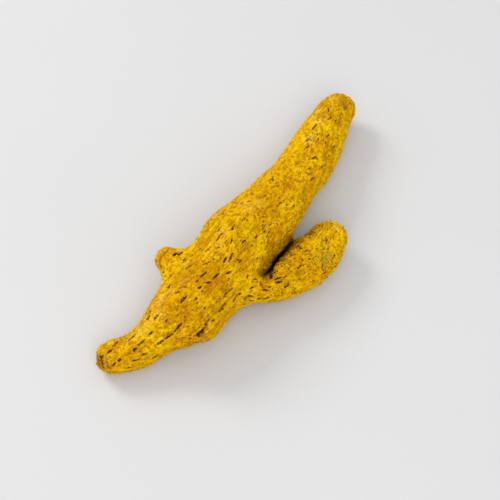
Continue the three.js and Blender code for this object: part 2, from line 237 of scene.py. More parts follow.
# Patches of other colour that show in the photograph: centre in its pixels, radius in mm and
# strength.
# Pale powder, partly painted highlight on lit rises of the shoulder and on the scar's rim.
POWDER_AND_HIGHLIGHT_PATCHES = (
    (309.5, 138, 1, 0.9), (316, 120.5, 1.1, 0.7), (249.5, 207.5, 0.8, 0.8), (128, 337, 1, 0.7),
    (140, 330, 1.1, 0.8), (148, 318, 1, 0.6), (157, 313, 1.2, 0.9), (160, 299, 1.1, 0.8),
    (168.5, 290, 0.8, 0.6), (184, 262, 0.6, 0.7), (216, 213, 0.9, 0.5), (242, 202.5, 0.9, 0.7),
    (104, 360.5, 0.5, 0.9), (105.2, 366, 0.5, 0.9), (182, 280, 0.9, 0.4), (338, 228, 0.8, 0.4),
    (330.7, 98.6, 0.7, 0.7), (319.8, 111.8, 0.8, 0.6), (322.6, 117.6, 0.7, 0.6), (220.3, 230.5, 0.8, 0.6),
    (220, 243.5, 0.5, 0.8), (151, 334.5, 0.4, 0.9), (169, 286, 0.5, 0.7), (259, 202, 0.9, 0.5),
)
# Rust, with painted shade along the cleft and painted shadow at the side finger's top near the cleft's upper
# end.
RUST_AND_SHADE_PATCHES = (
    (98.5, 361, 1.2, 1), (98, 367, 1.2, 0.8), (162, 262, 0.9, 0.1), (163, 251, 0.9, 0.1),
    (299, 180, 0.5, 0.7), (326.7, 158.3, 0.7, 0.5), (322, 115, 1, 0.7), (299, 271, 0.9, 0.7),
    (308, 232.5, 1.4, 1), (292, 247.5, 0.9, 0.8), (160, 358, 1.2, 0.5), (150, 357, 1, 0.5),
    (201, 283, 1.6, 0.45), (212, 292, 1.3, 0.45), (222, 285, 1.5, 0.4), (196, 318, 1.4, 0.35),
    (178, 300, 1.3, 0.4), (263, 187, 1.5, 0.4), (301, 160, 1.4, 0.35), (246, 241, 1.6, 0.35),
    (323, 103, 1.3, 0.5), (168, 354, 1.2, 0.4), (279, 266, 0.7, 0.5), (285, 259, 0.7, 0.5),
    (291, 252, 0.8, 0.6), (298, 246, 0.8, 0.6), (275, 252, 0.8, 0.35), (303, 239, 1, 0.7),
    (281, 246, 0.8, 0.3), (264, 283, 0.8, 0.3), (169.5, 246.9, 0.5, 0.8), (155.7, 261, 0.5, 0.6),
    (158.2, 256.4, 0.5, 0.6), (157, 266.4, 0.5, 0.6), (108.4, 368, 0.6, 0.7), (140.4, 351.5, 0.5, 0.8),
    (333.3, 148, 0.5, 1), (338.7, 95.5, 0.9, 0.6), (342.2, 101, 1.2, 0.5), (334, 116, 1.3, 0.5),
    (331, 137, 0.8, 0.7), (287.9, 183.1, 0.7, 0.6), (310, 233, 1.1, 1), (305, 240, 0.8, 0.8),
    (116, 362, 2.6, 0.3), (138, 357, 2.6, 0.25), (230, 312, 2.2, 0.25),
)
# Dark stain with painted shade along the cleft, painted shadow at the side finger's top, and painted shade
# in the scar's hollow and by the deep crack.
STAIN_AND_SHADE_PATCHES = (
    (309.5, 236, 1.2, 1), (304, 240.5, 0.9, 1), (299, 245, 0.8, 0.9), (314, 230, 0.9, 0.7),
    (275, 249, 1.1, 0.6), (278.5, 245.5, 0.8, 0.5), (290, 253.5, 0.8, 0.8), (284, 259, 0.7, 0.7),
    (271, 256, 0.8, 0.5), (276.5, 271.5, 0.6, 0.7), (300.1, 279.5, 0.5, 0.7), (320, 224.5, 0.8, 0.6),
    (100.8, 359, 0.5, 0.4), (101.5, 365.5, 0.6, 0.5), (203, 336.5, 0.9, 0.6), (197, 340, 0.7, 0.6),
)
OLIVE_PATCHES = (
    (346, 106, 0.9, 0.9), (341, 102, 0.9, 0.5), (327.7, 257.7, 1.3, 0.7), (205, 341, 1, 0.4),
)
PATCHES = {
    "powder": POWDER_AND_HIGHLIGHT_PATCHES,
    "rust": RUST_AND_SHADE_PATCHES,
    "stain": STAIN_AND_SHADE_PATCHES,
    "olive": OLIVE_PATCHES,
}

# The eyes at the fingers' ends, where fine rings run round a dimple.
EYES = ((327.7, 257.7), (346.0, 106.0))
EYE_REACH = 2.6
RING_PITCH = 0.85
RING_START = 0.4
RING_SWAY = 9.0  # how far the lumps bend them
DIMPLE_DEPTH = 2.0  # in heights of a ring

# The scar at the other end, by places along the finger, whose core starts at 0.
SCAR_RIM = -1.3
SCAR_EDGE = -1.8  # where its hollow starts
RIM_HALF_WIDTH = 0.55


# Measuring through the camera.


def sight_line(x, y):
    """The direction in which the camera sees a pixel of the photograph."""
    across = (x - FRAME_PIXELS / 2) / FOCAL_PIXELS
    down = (y - FRAME_PIXELS / 2) / FOCAL_PIXELS
    return (FORWARD + RIGHT * across - UP * down).normalized()


def seen_at(tree, x, y):
    """The point of a mesh that the camera sees at a pixel, or None past its outline."""
    point, *rest = tree.ray_cast(EYE, sight_line(x, y))
    return point


# Limbs.


def curve_through(knots):
    """Points on a Catmull-Rom curve through the knots, the ends included."""
    padded = np.vstack((2 * knots[0] - knots[1], knots, 2 * knots[-1] - knots[-2]))
    points = []
    for before, start, end, after in zip(padded, padded[1:], padded[2:], padded[3:]):
        bend = 2 * before - 5 * start + 4 * end - after
        twist = 3 * start - before - 3 * end + after
        for t in np.arange(SPAN_SAMPLES) / SPAN_SAMPLES:
            points.append(0.5 * (2 * start + (end - before) * t + bend * t**2 + twist * t**3))
    return np.array([*points, knots[-1]])


def located(stations, points):
    """Each point's place by a limb as (along, aside, up), its height over it, and its heading."""
    curve = curve_through(np.array(stations, dtype=float))
    core = curve[:, :3] + PACKED
    radii = curve[:, 3] * THICKEST / 2
    nearest = np.full(len(points), np.inf)
    place = np.zeros((len(points), 3))
    heading = np.zeros((len(points), 3))
    walked = 0.0
    for k in range(len(core) - 1):
        step = core[k + 1] - core[k]
        length = np.linalg.norm(step)
        ahead = step / length
        aside = np.cross((0.0, 0.0, 1.0), ahead)
        aside /= np.linalg.norm(aside)
        above = np.cross(ahead, aside)
        offset = points - core[k]
        run = offset @ ahead
        share = np.clip(run / length, 0.0, 1.0)
        reach = np.linalg.norm(offset - share[:, None] * step, axis=1)
        radius = radii[k] + share * (radii[k + 1] - radii[k])
        closer = reach - radius < nearest
        nearest[closer] = (reach - radius)[closer]
        place[closer] = np.column_stack((walked + run, offset @ aside, offset @ above))[closer]
        heading[closer] = ahead
        walked += length
    return place, nearest, heading


# Meshes.


def new_object(name, data):
    piece = bpy.data.objects.new(name, data)
    bpy.context.scene.collection.objects.link(piece)
    return piece


def mesh_from(name, points, faces=(), edges=()):
    mesh = bpy.data.meshes.new(name)
    mesh.from_pydata(points, edges, faces)
    mesh.update()
    return mesh


def remove(piece):
    mesh = piece.data
    bpy.data.objects.remove(piece)
    bpy.data.meshes.remove(mesh)


def bake_modifiers(piece):
    """Makes what the modifiers show the piece's own mesh, and takes the modifiers off."""
    shown = piece.evaluated_get(bpy.context.evaluated_depsgraph_get())
    mesh = bpy.data.meshes.new_from_object(shown)
    piece.modifiers.clear()
    old = piece.data
    piece.data = mesh
    bpy.data.meshes.remove(old)
    return piece


def change(piece, kind, **settings):
    """Changes a piece's mesh by one modifier with these settings."""
    modifier = piece.modifiers.new(kind.lower(), kind)
    for key, value in settings.items():
        setattr(modifier, key, value)
    bake_modifiers(piece)


def vertex_vectors(mesh, key):
    flat = np.empty(len(mesh.vertices) * 3)
    mesh.vertices.foreach_get(key, flat)
    return flat.reshape(-1, 3)


def positions(mesh):
    return vertex_vectors(mesh, "co")


def nearest_distance(points, places):
    """How far each point lies from the nearest of the places."""
    return np.min([np.linalg.norm(points - np.array(place), axis=1) for place in places], axis=0)


def write_attribute(mesh, name, values):
    kind, key = ("FLOAT_VECTOR", "vector") if values.ndim == 2 else ("FLOAT", "value")
    layer = mesh.attributes.new(name, kind, "POINT")
    layer.data.foreach_set(key, values.astype(np.float32).ravel())


def search_tree(mesh):
    return BVHTree.FromPolygons(
        [v.co for v in mesh.vertices], [tuple(p.vertices) for p in mesh.polygons]
    )


def solid_in_millimetres():
    """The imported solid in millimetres, its points merged and its triangles paired into quads."""
    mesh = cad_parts[ROOT_NODE].data.copy()
    shape = bmesh.new()
    shape.from_mesh(mesh)
    bmesh.ops.scale(shape, vec=Vector((1, 1, 1)) / MM, verts=shape.verts)
    bmesh.ops.remove_doubles(shape, verts=shape.verts, dist=MERGE_REACH)
    bmesh.ops.join_triangles(
        shape,
        faces=shape.faces,
        angle_face_threshold=QUAD_ANGLE,
        angle_shape_threshold=QUAD_ANGLE,
    )
    shape.to_mesh(mesh)
    shape.free()
    mesh.materials.clear()
    return new_object("skin", mesh)


def closed_tube(name, rings):
    """A closed mesh over rings of points, each with as many points as the next."""
    count = len(rings[0])
    faces = []
    for k in range(len(rings) - 1):
        for n in range(count):
            a = k * count + n
            b = k * count + (n + 1) % count
            faces.append((a, b, b + count, a + count))
    faces.append(tuple(range(count))[::-1])
    faces.append(tuple(range((len(rings) - 1) * count, len(rings) * count)))
    mesh = mesh_from(name, [point for ring in rings for point in ring], faces)
    shape = bmesh.new()
    shape.from_mesh(mesh)
    bmesh.ops.recalc_face_normals(shape, faces=shape.faces)
    shape.to_mesh(mesh)
    shape.free()
    return new_object(name, mesh)


def cleft_blade(tree):
    """A thin wedge along the cleft, to be cut out of the smooth skin."""
    path = [(seen_at(tree, x, y), width, depth) for x, y, width, depth in CLEFT]
    onward, last_width, last_depth = PARTING
    run = (path[-1][0] - path[-2][0]).normalized()
    path.append((path[-1][0] + run * onward, last_width, last_depth))
    middles = [middle for middle, *rest in path]
    inward = sight_line(*CLEFT[len(CLEFT) // 2][:2])
    rings = []
    for k, (hit, width, depth) in enumerate(path):
        ahead = (middles[min(k + 1, len(path) - 1)] - middles[max(k - 1, 0)]).normalized()
        half = ahead.cross(inward).normalized() * width / 2
        top = hit - inward * CLEFT_RISE
        bottom = hit + inward * depth
        upper = (top + half * BLADE_FLARE, top - half * BLADE_FLARE)
        lower = (bottom - half * BLADE_TAPER, bottom + half * BLADE_TAPER)
        rings.append((*upper, hit - half, *lower, hit + half))
    return closed_tube("cleft_blade", rings)


def cut_cleft(piece, tree):
    blade = cleft_blade(tree)
    change(piece, "BOOLEAN", operation="DIFFERENCE", solver="EXACT", object=blade)
    remove(blade)


def write_limb_places(mesh):
    """Gives the skin each limb's places and shares, and the way that its fibres run."""
    points = positions(mesh)
    found = {name: located(stations, points) for name, stations in STATIONS.items()}
    pull = {}
    for name, (_, above, _) in found.items():
        pull[name] = np.exp(-np.maximum(above, -SHARE_DEPTH) / SHARE_SOFTNESS)
    total = sum(pull.values())
    fibre = np.zeros_like(points)
    for name, (place, _, heading) in found.items():
        share = pull[name] / total
        write_attribute(mesh, f"{name}_place", place)
        write_attribute(mesh, f"{name}_share", share)
        fibre += heading * share[:, None]
    write_attribute(mesh, "fibre", fibre)


def path_points(path):
    """The corners of a path with evenly spaced points between them."""
    line = []
    for start, end in zip(path, path[1:]):
        line += [start + (end - start) * k / SPAN_SAMPLES for k in range(SPAN_SAMPLES)]
    return [*line, path[-1]]


def write_cleft(mesh, whole):
    """Marks how deep the cleft's walls lie under the skin that was whole, which darkens them with painted
    shade, and how far all is from it.
    """
    points = positions(mesh)
    path = [np.array(seen_at(whole, x, y)) for x, y, *rest in CLEFT]
    low, high = CLEFT_SHADE
    shade = np.zeros(len(points))
    for k in np.flatnonzero(nearest_distance(points, path) < CLEFT_NEAR):
        depth = whole.find_nearest(Vector(points[k]))[3]
        shade[k] = min(max((depth - low) / (high - low), 0.0), 1.0)
    write_attribute(mesh, "cleft", shade)
    write_attribute(mesh, "from_cleft", nearest_distance(points, path_points(path)))


def write_patches(mesh, tree):
    """Gives the skin the patches of other colour that show in the photograph."""
    points = positions(mesh)
    for name, patches in PATCHES.items():
        strength = np.zeros(len(points))
        for x, y, radius, most in patches:
            hit = seen_at(tree, x, y)
            if hit is None:
                continue
            far = nearest_distance(points, [hit]) / radius
            strength = np.maximum(strength, most * np.exp(-(far**2)))
        write_attribute(mesh, name, strength)


def write_eyes(mesh, tree):
    """Gives each point its distance from the nearest eye."""
    eyes = [seen_at(tree, x, y) for x, y in EYES]
    write_attribute(mesh, "from_eye", nearest_distance(positions(mesh), eyes))


def write_seen(mesh):
    """Marks the points that the camera sees, where the photograph itself places the long pits."""
    ahead = positions(mesh) - np.array(EYE)
    toward = -(ahead * vertex_vectors(mesh, "normal")).sum(axis=1) / np.linalg.norm(ahead, axis=1)
    write_attribute(mesh, "seen", (toward > FACING_LIMIT).astype(float))


def as_dashes(specks, dice):
    """Each speck as a very short dash along the fibres."""
    dashes = []
    for x, y in specks:
        reach = dice.uniform(*SPECK_SPAN) / 2
        dashes.append((x - reach, y + reach, x + reach, y - reach))
    return dashes


def lines_object(name, points, edges, half_widths, depths):
    mesh = mesh_from(name, points, edges=edges)
    write_attribute(mesh, "half_width", np.array(half_widths))
    write_attribute(mesh, "depth", np.array(depths))
    return new_object(name, mesh)


def drawn_marks(tree):
    """The photograph's pits and cracks as lines on the skin."""
    dice = random.Random(MARK_SEED)
    points, edges, widths, depths = [], [], [], []
    specks = [(as_dashes(family, dice), *size) for family, *size in SPECK_FAMILIES]
    for family, half_width, depth in (*MARK_FAMILIES, *specks):
        for x0, y0, x1, y1 in family:
            steps = max(2, round(math.hypot(x1 - x0, y1 - y0) * MM_PER_PIXEL / MARK_STEP))
            start = len(points)
            size = dice.uniform(*MARK_SIZES)
            for k in range(steps + 1):
                share = k / steps
                hit = seen_at(tree, x0 + (x1 - x0) * share, y0 + (y1 - y0) * share)
                if hit is None:
                    continue
                wobble = Vector([dice.uniform(-MARK_WOBBLE, MARK_WOBBLE) for _ in range(3)])
                if len(points) > start:
                    edges.append((len(points) - 1, len(points)))
                points.append(hit + wobble)
                taper = MARK_LEAST + MARK_SWELL * math.sin(math.pi * np.clip(share, *MARK_BLUNT))
                widths.append(half_width * size * taper)
                depths.append(depth * size * taper)
    return lines_object("drawn_marks", points, edges, widths, depths)


# Drawing node trees.

CREASE_WIDTH = 0.34  # how far off its middle a noise still belongs to a crease


class Sketch:
    """Draws a node tree by calls that each give back the socket that they put out."""

    def __init__(self, tree):
        self.tree = tree

    def node(self, kind, settings=None, **feeds):
        node = self.tree.nodes.new(kind)
        for key, value in (settings or {}).items():
            setattr(node, key, value)
        for name, value in feeds.items():
            self.feed(node, name.replace("_", " "), value)
        return node

    def feed(self, node, name, value):
        """Links a socket, or sets a value, on the node's enabled input of that name or number."""
        if isinstance(name, int):
            socket = node.inputs[name]
        else:
            socket = next(s for s in node.inputs if s.enabled and s.name.lower() == name.lower())
        if isinstance(value, bpy.types.NodeSocket):
            self.tree.links.new(value, socket)
        else:
            socket.default_value = value

    def out(self, node, name=None):
        return next(s for s in node.outputs if s.enabled and (name is None or s.name == name))

    def put(self, kind, settings=None, out=None, **feeds):
        """Makes a node and gives back its output of that name, or else its first."""
        return self.out(self.node(kind, settings, **feeds), out)

    def computed(self, kind, operation, values):
        node = self.node(kind, {"operation": operation})
        for k, value in enumerate(values):
            self.feed(node, k, value)
        return self.out(node)

    def math(self, operation, *values):
        return self.computed("ShaderNodeMath", operation, values)

    def vector(self, operation, *values):
        return self.computed("ShaderNodeVectorMath", operation, values)

    def chained(self, operation, total, *values):
        for value in values:
            total = self.math(operation, total, value)
        return total

    def add(self, *values):
        return self.chained("ADD", *values)

    def times(self, *values):
        return self.chained("MULTIPLY", *values)

    def x_of(self, vector):
        return self.put("ShaderNodeSeparateXYZ", out="X", Vector=vector)

    def ramp(self, value, *span):
        """A soft step: from and to which value it goes, then from and to what, or from 0 to 1."""
        feeds = dict(zip(("From_Min", "From_Max", "To_Min", "To_Max"), span))
        settings = {"interpolation_type": "SMOOTHSTEP"}
        return self.put("ShaderNodeMapRange", settings, Value=value, **feeds)

    def noise(self, place, *values, out=None):
        """A noise by its scale, detail, roughness and distortion, or 2, a half and none."""
        feeds = dict(zip(("Scale", "Detail", "Roughness", "Distortion"), values))
        return self.put("ShaderNodeTexNoise", out=out, Vector=place, **feeds)

    def centred(self, noise):
        return self.math("SUBTRACT", noise, 0.5)

    def ridges(self, noise):
        """Turns a noise into creases, 1 along them and 0 well away from them."""
        away = self.math("ABSOLUTE", self.math("MULTIPLY_ADD", noise, 2.0, -1.0))
        return self.ramp(away, 0.0, CREASE_WIDTH, 1.0, 0.0)


class GeometrySketch(Sketch):
    """A geometry tree with named inputs, each with its kind of socket."""

    def __init__(self, name, inputs):
        super().__init__(bpy.data.node_groups.new(name, "GeometryNodeTree"))
        new_socket = self.tree.interface.new_socket
        for label, kind in {"Geometry": "NodeSocketGeometry", **inputs}.items():
            new_socket(label, in_out="INPUT", socket_type=kind)
        new_socket("Geometry", in_out="OUTPUT", socket_type="NodeSocketGeometry")
        self.inputs = self.tree.nodes.new("NodeGroupInput").outputs

    def read(self, name, kind="FLOAT"):
        settings = {"data_type": kind}
        return self.put("GeometryNodeInputNamedAttribute", settings, out="Attribute", Name=name)

    def store(self, geometry, name, value, domain="POINT"):
        return self.put(
            "GeometryNodeStoreNamedAttribute",
            {"data_type": "FLOAT", "domain": domain},
            Geometry=geometry,
            Name=name,
            Value=value,
        )

    def random(self, low, high, seed, kind="FLOAT"):
        return self.put("FunctionNodeRandomValue", {"data_type": kind}, Min=low, Max=high, Seed=seed)

    def finish(self, geometry, material):
        """Ends the tree in Realize Instances and Set Material."""
        whole = self.put("GeometryNodeRealizeInstances", Geometry=geometry)
        dressed = self.put("GeometryNodeSetMaterial", Geometry=whole, Material=material)
        output = self.tree.nodes.new("NodeGroupOutput")
        self.tree.links.new(dressed, output.inputs["Geometry"])

    def set_on(self, piece, values):
        """Puts the tree on a piece as a modifier with these values of its named inputs."""
        modifier = piece.modifiers.new(self.tree.name, "NODES")
        modifier.node_group = self.tree
        for item in self.tree.interface.items_tree:
            if item.in_out == "INPUT" and item.name in values:
                modifier[item.identifier] = values[item.name]


def limb_noise(draw, along, *values):
    """A noise that melts from one limb into the next, with this share of its scale along them."""
    parts = []
    for name in STATIONS:
        place = draw.read(f"{name}_place", "FLOAT_VECTOR")
        place = draw.vector("MULTIPLY", place, (along, 1.0, 1.0))
        share = draw.read(f"{name}_share")
        parts.append(draw.times(draw.noise(place, *values), share))
    return draw.add(*parts)


# Pits at random.

COARSE_END = (-6.0, 10.0)  # x over which the coarse lower half gives way to the finer upper one
PIT_INPUTS = {
    **dict.fromkeys(("Spacing", "Density", "Seen Share", "Upper Share"), "NodeSocketFloat"),
    **dict.fromkeys(("Shortest", "Longest", "Half Width", "Depth"), "NodeSocketFloat"),
    "Seed": "NodeSocketInt",
}
SCATTERED_PITS = (  # those inputs for long sparse pits, and for small dense ones
    (1.4, 0.42, 0.15, 0.3, 0.35, 1.5, 0.15, 0.34, 5),
    (0.55, 1.5, 0.5, 0.8, 0.1, 0.6, 0.1, 0.15, 23),
)
PIT_POINTS = 7
PIT_SIZES = (0.7, 1.25)
PIT_SWING = 0.3  # how far a pit's direction strays from the fibres', which is 1 long
SIDE_PITS = 0.5  # how much of the thinning on the side seen the side finger is spared
CLUSTER_NOISE = (0.5, 0.16)  # its share along the limbs, and scale
CLUSTERS = (0.35, 0.62, 0.25, 1.0)  # from and to which value of it, and how many pits at either


def pit_share(draw):
    """How many pits a place gets, by the half of the root and the side that it is on."""
    given = draw.inputs
    x = draw.x_of(draw.put("GeometryNodeInputPosition"))
    coarse = draw.ramp(x, *COARSE_END, 1.0, given["Upper Share"])
    coarse = draw.math("MAXIMUM", coarse, draw.read("side_share"))
    mapped = draw.math("MULTIPLY_ADD", draw.read("side_share"), -SIDE_PITS, 1.0)
    mapped = draw.times(draw.read("seen"), mapped)
    thinned = draw.math("SUBTRACT", given["Seen Share"], 1.0)
    clusters = draw.ramp(limb_noise(draw, *CLUSTER_NOISE), *CLUSTERS)
    return draw.times(coarse, draw.math("MULTIPLY_ADD", mapped, thinned, 1.0), clusters)


def pit_tree(material):
    """Short lines scattered over a skin along its fibres, each with a half width and a depth."""
    draw = GeometrySketch("scattered_pits", PIT_INPUTS)
    given = draw.inputs
    seed = given["Seed"]
    scatter = draw.node(
        "GeometryNodeDistributePointsOnFaces",
        {"distribute_method": "POISSON"},
        Mesh=given["Geometry"],
        Distance_Min=given["Spacing"],
        Density_Max=given["Density"],
        Density_Factor=pit_share(draw),
        Seed=seed,
    )
    swing = draw.random((-PIT_SWING,) * 3, (PIT_SWING,) * 3, seed, "FLOAT_VECTOR")
    turned = draw.put(
        "FunctionNodeAlignRotationToVector",
        {"axis": "X", "pivot_axis": "Z"},
        Rotation=draw.out(scatter, "Rotation"),
        Vector=draw.vector("ADD", draw.read("fibre", "FLOAT_VECTOR"), swing),
    )
    line = draw.put(
        "GeometryNodeMeshLine",
        Count=PIT_POINTS,
        Start_Location=(-0.5, 0.0, 0.0),
        Offset=(1.0 / (PIT_POINTS - 1), 0.0, 0.0),
    )
    length = draw.random(given["Shortest"], given["Longest"], draw.math("ADD", seed, 1))
    placed = draw.put(
        "GeometryNodeInstanceOnPoints",
        Points=draw.out(scatter, "Points"),
        Instance=line,
        Rotation=turned,
        Scale=draw.put("ShaderNodeCombineXYZ", X=length, Y=1.0, Z=1.0),
    )
    size = draw.random(*PIT_SIZES, draw.math("ADD", seed, 2))
    for name, whole in (("half_width", given["Half Width"]), ("depth", given["Depth"])):
        placed = draw.store(placed, name, draw.times(whole, size), "INSTANCE")
    draw.finish(placed, material)
    return draw


def scattered_pits(skin, material):
    draw = pit_tree(material)
    made = []
    for values in SCATTERED_PITS:
        lines = new_object("scattered_pits", skin.data.copy())
        draw.set_on(lines, dict(zip(PIT_INPUTS, values)))
        made.append(bake_modifiers(lines))
    return made


def joined_marks(pieces):
    """All the lines as one mesh."""
    points, edges, widths, depths = [], [], [], []
    for piece in pieces:
        mesh = piece.data
        start = len(points)
        points += [v.co.copy() for v in mesh.vertices]
        edges += [(a + start, b + start) for a, b in (e.vertices for e in mesh.edges)]
        for name, values in (("half_width", widths), ("depth", depths)):
            values += [item.value for item in mesh.attributes[name].data]
        remove(piece)
    return lines_object("marks", points, edges, widths, depths)


# The skin's relief.

RELIEF = {
    "Lumps": 0.3, "Flutes": 0.5, "Folds": 0.17, "Wrinkles": 0.24, "Grain": 0.25, "Rings": 0.09,
    "Rim": 0.05, "Scar": 0.08, "Ragged Sides": 0.95,
}
RELIEF_INPUTS = {"Marks": "NodeSocketObject", **dict.fromkeys(RELIEF, "NodeSocketFloat")}
UPPER_FLUTES = 0.45  # how high flutes and folds are in the upper half, as a share
ROUGH_SPOTS = (0.35, 0.65, 0.35, 1.0)  # the range of their noise, and the wrinkles at either end
GNARLED_BUD = 0.3  # how gnarled it is, as a share of the side finger
GNARLED_WRINKLES = 1.1  # how much higher the side finger's wrinkles are, as a share

# Noises along the limbs: their share of the scale along them, then scale per mm, detail,
# roughness and distortion.
FLUTE_NOISE = (0.14, 0.55)
FOLD_NOISE = (0.1, 0.42, 1.0, 0.5, 0.4)
WRINKLE_NOISE = (0.3, 1.15, 3.0, 0.6, 0.3)
GRAIN_NOISE = (0.42, 2.2, 3.0, 0.65)

# Noises that run the same way everywhere: scale per mm, detail and roughness.
LUMP_NOISE = (0.34,)
ROUGH_NOISE = (0.22, 1.0)
RAGGED_NOISE = (1.5, 3.0, 0.6)
WARP_NOISE = (2.2,)
BREAK_NOISE = (1.5, 2.0, 0.6)

PIT_WARP = 0.45  # how far the marks' lines are bent
PIT_BREAKS = (0.3, 0.48, 0.7, 1.0)  # the range of their noise, and how deep a pit is at either end
UNBROKEN_DEPTHS = (0.45, 0.6)  # pits this deep have no breaks
PIT_BOWL = (0.25, 1.5, 1.0, 0.0)  # where its floor ends and its lip is, in its half widths
FARTHEST_REACH = 4.0  # of a pit, in its half widths


def eye_rings(draw, lumps):
    """Fine rings round the eyes, with a dimple in each."""
    from_eye = draw.read("from_eye")
    sway = draw.times(lumps, RING_SWAY)
    turn = draw.math("MULTIPLY_ADD", from_eye, 2 * math.pi / RING_PITCH, sway)
    fading = draw.ramp(from_eye, RING_START, EYE_REACH, 1.0, 0.0)
    dimple = draw.ramp(from_eye, 0.0, EYE_REACH / 2, 1.0, 0.0)
    rings = draw.times(draw.math("SINE", turn), fading)
    return draw.math("SUBTRACT", rings, draw.times(dimple, DIMPLE_DEPTH))


def scar_rim(draw, lumps):
    """The rim round the scar at the finger's end, and the hollow in it."""
    end = draw.add(draw.x_of(draw.read("finger_place", "FLOAT_VECTOR")), lumps)
    from_rim = draw.math("ABSOLUTE", draw.math("SUBTRACT", end, SCAR_RIM))
    rim = draw.ramp(from_rim, 0.0, RIM_HALF_WIDTH, 1.0, 0.0)
    return rim, draw.ramp(end, SCAR_EDGE - RIM_HALF_WIDTH, SCAR_EDGE, 1.0, 0.0)


def skin_height(draw, place):
    """How far the skin stands out by all but its pits, with the cleft's walls left smooth."""
    given = draw.inputs
    coarse = draw.ramp(draw.x_of(place), *COARSE_END, 1.0, UPPER_FLUTES)
    lumps = draw.centred(draw.noise(place, *LUMP_NOISE))
    flutes = draw.centred(limb_noise(draw, *FLUTE_NOISE))
    folds = draw.ridges(limb_noise(draw, *FOLD_NOISE))
    wrinkles = draw.ridges(limb_noise(draw, *WRINKLE_NOISE))
    grain = draw.centred(limb_noise(draw, *GRAIN_NOISE))
    rough = draw.ramp(draw.noise(place, *ROUGH_NOISE), *ROUGH_SPOTS)
    side = draw.read("side_share")
    gnarled = draw.math("MULTIPLY_ADD", draw.read("bud_share"), GNARLED_BUD, side)
    wrinkling = draw.times(rough, draw.math("MULTIPLY_ADD", gnarled, GNARLED_WRINKLES, 1.0))
    rim, scar = scar_rim(draw, lumps)
    sides = draw.ramp(draw.read("from_cleft"), *CLEFT_SIDES, 1.0, 0.0)
    ragged = draw.centred(draw.noise(place, *RAGGED_NOISE))
    height = draw.add(
        draw.times(lumps, given["Lumps"]),
        draw.times(flutes, given["Flutes"], coarse),
        draw.times(folds, given["Folds"], coarse, draw.read("finger_share"), -1.0),
        draw.times(wrinkles, wrinkling, given["Wrinkles"], -1.0),
        draw.times(grain, given["Grain"]),
        draw.times(eye_rings(draw, lumps), given["Rings"]),
        draw.times(rim, given["Rim"]),
        draw.times(scar, given["Scar"], -1.0),
        draw.times(ragged, sides, given["Ragged Sides"]),
    )
    return draw.times(height, draw.math("SUBTRACT", 1.0, draw.read("cleft")))


def nearest_pit(draw, place):
    """The nearest mark's reach in its half widths, its depth, and how far it moves the skin out."""
    marks = draw.put("GeometryNodeObjectInfo", out="Geometry", Object=draw.inputs["Marks"])
    shaken = draw.vector("SUBTRACT", draw.noise(place, *WARP_NOISE, out="Color"), (0.5, 0.5, 0.5))
    warped = draw.vector("ADD", place, draw.vector("MULTIPLY", shaken, (PIT_WARP,) * 3))
    near = draw.node("GeometryNodeProximity", {"target_element": "EDGES"}, Sample_Position=warped)
    draw.feed(near, 0, marks)
    nearest = draw.put(
        "GeometryNodeSampleNearest", {"domain": "POINT"}, Geometry=marks, Sample_Position=warped
    )
    half_width, depth = (
        draw.put(
            "GeometryNodeSampleIndex",
            {"data_type": "FLOAT", "domain": "POINT"},
            Geometry=marks,
            Value=draw.read(name),
            Index=nearest,
        )
        for name in ("half_width", "depth")
    )
    reach = draw.math("DIVIDE", draw.out(near, "Distance"), half_width)
    bowl = draw.ramp(reach, *PIT_BOWL)
    broken = draw.ramp(draw.noise(place, *BREAK_NOISE), *PIT_BREAKS)
    broken = draw.math("MAXIMUM", broken, draw.ramp(depth, *UNBROKEN_DEPTHS))
    reach = draw.math("ADD", reach, draw.math("SUBTRACT", 1.0, broken))
    return reach, depth, draw.times(bowl, depth, broken, -1.0)


def relief_tree(material):
    """Moves the skin out and in by its lumps, flutes, wrinkles, grain and pits."""
    draw = GeometrySketch("dried_relief", RELIEF_INPUTS)
    place = draw.put("GeometryNodeInputPosition")
    height = skin_height(draw, place)
    reach, depth, sunk = nearest_pit(draw, place)
    offset = draw.put(
        "ShaderNodeVectorMath",
        {"operation": "SCALE"},
        Vector=draw.put("GeometryNodeInputNormal"),
        Scale=draw.add(height, sunk),
    )
    geometry = draw.store(draw.inputs["Geometry"], "height", height)
    geometry = draw.store(geometry, "pit_reach", draw.math("MINIMUM", reach, FARTHEST_REACH))
    geometry = draw.store(geometry, "pit_depth", depth)
    moved = draw.put("GeometryNodeSetPosition", Geometry=geometry, Offset=offset)
    draw.finish(moved, material)
    return draw


# Materials.


class MaterialSketch(Sketch):
    """A material's tree, with its Principled shader."""

    def __init__(self, name, roughness, specular):
        self.material = bpy.data.materials.new(name)
        self.material.use_nodes = True
        super().__init__(self.material.node_tree)
        self.shader = self.tree.nodes["Principled BSDF"]
        self.shader.inputs["Roughness"].default_value = roughness
        self.shader.inputs["Specular IOR Level"].default_value = specular

    def read(self, name, kind="FLOAT"):
        out = "Vector" if kind == "FLOAT_VECTOR" else "Fac"
        return self.put("ShaderNodeAttribute", {"attribute_name": name}, out=out)

    def blend(self, share, low, high):
        """Mixes two colours by a share."""
        node = self.node("ShaderNodeMix", {"data_type": "RGBA"})
        sockets = [s for s in node.inputs if s.enabled]
        for socket, value in zip(sockets, (share, low, high)):
            if isinstance(value, tuple):
                socket.default_value = (*value, 1.0)
            else:
                self.tree.links.new(value, socket)
        return self.out(node)

    def share(self, measures, factors):
        """The product of some measures, each as it is or as a ramp over it."""
        parts = []
        for name, *span in factors:
            parts.append(self.ramp(measures[name], *span) if span else measures[name])
        return self.times(*parts)

    def layered(self, measures, colour, layers):
        """Lays colours over a first one, each by its share. A name stands for a measured colour."""
        for over, *factors in layers:
            if isinstance(over, str):
                over = measures[over]
            colour = self.blend(self.share(measures, factors), colour, over)
        return colour


